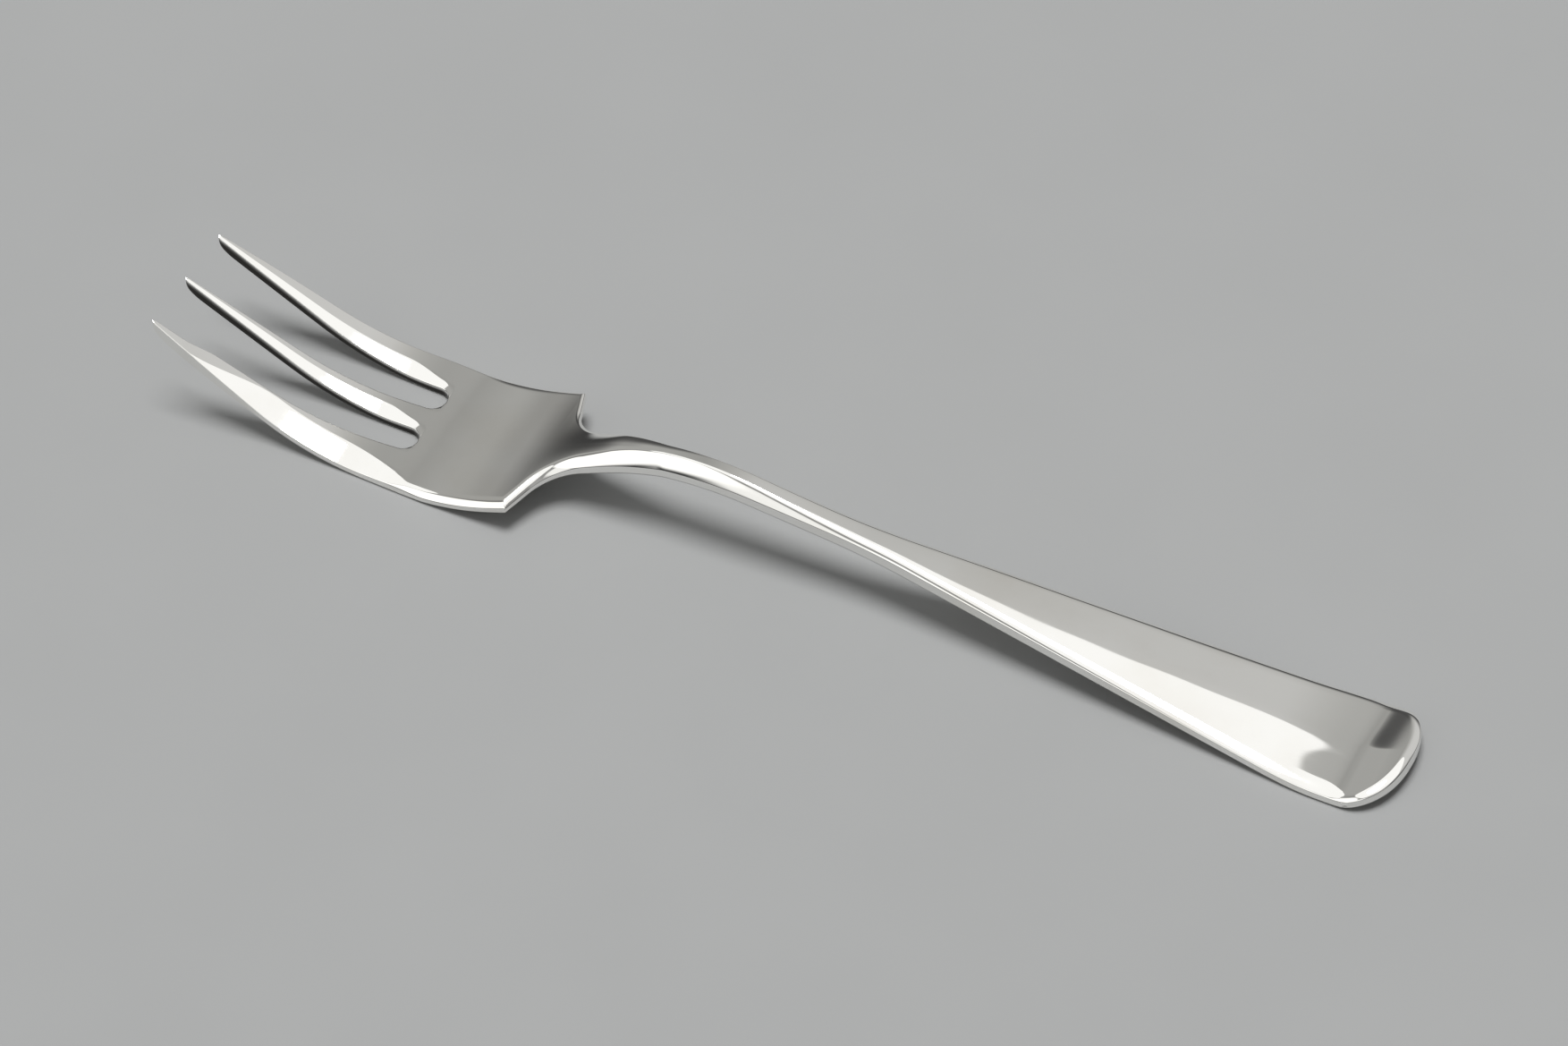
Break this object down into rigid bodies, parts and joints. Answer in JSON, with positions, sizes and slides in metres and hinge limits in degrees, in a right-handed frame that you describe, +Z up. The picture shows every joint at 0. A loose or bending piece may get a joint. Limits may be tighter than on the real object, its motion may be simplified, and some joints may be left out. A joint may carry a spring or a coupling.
{
  "type": "pastry fork",
  "caption": "Pastry fork with a broad bevelled cutting tine, arched neck, slim stem and flared handle with a turned-up lip, for cutting and lifting cake.",
  "frame": {"origin": "centre of the bounding box seen from above, on the table plane that the fork rests on", "axes": "+X along the fork towards the handle end, tines at -X; +Y across the fork, away from the broad cutting tine; +Z up, the side that food is lifted on"},
  "size_m": [0.14, 0.0184, 0.0111],
  "materials": {
    "polished_silver": "polished silver with fine wear scratches"
  },
  "bodies": {
    "root": {"pastry_fork": "polished_silver"}
  },
  "joints": []
}
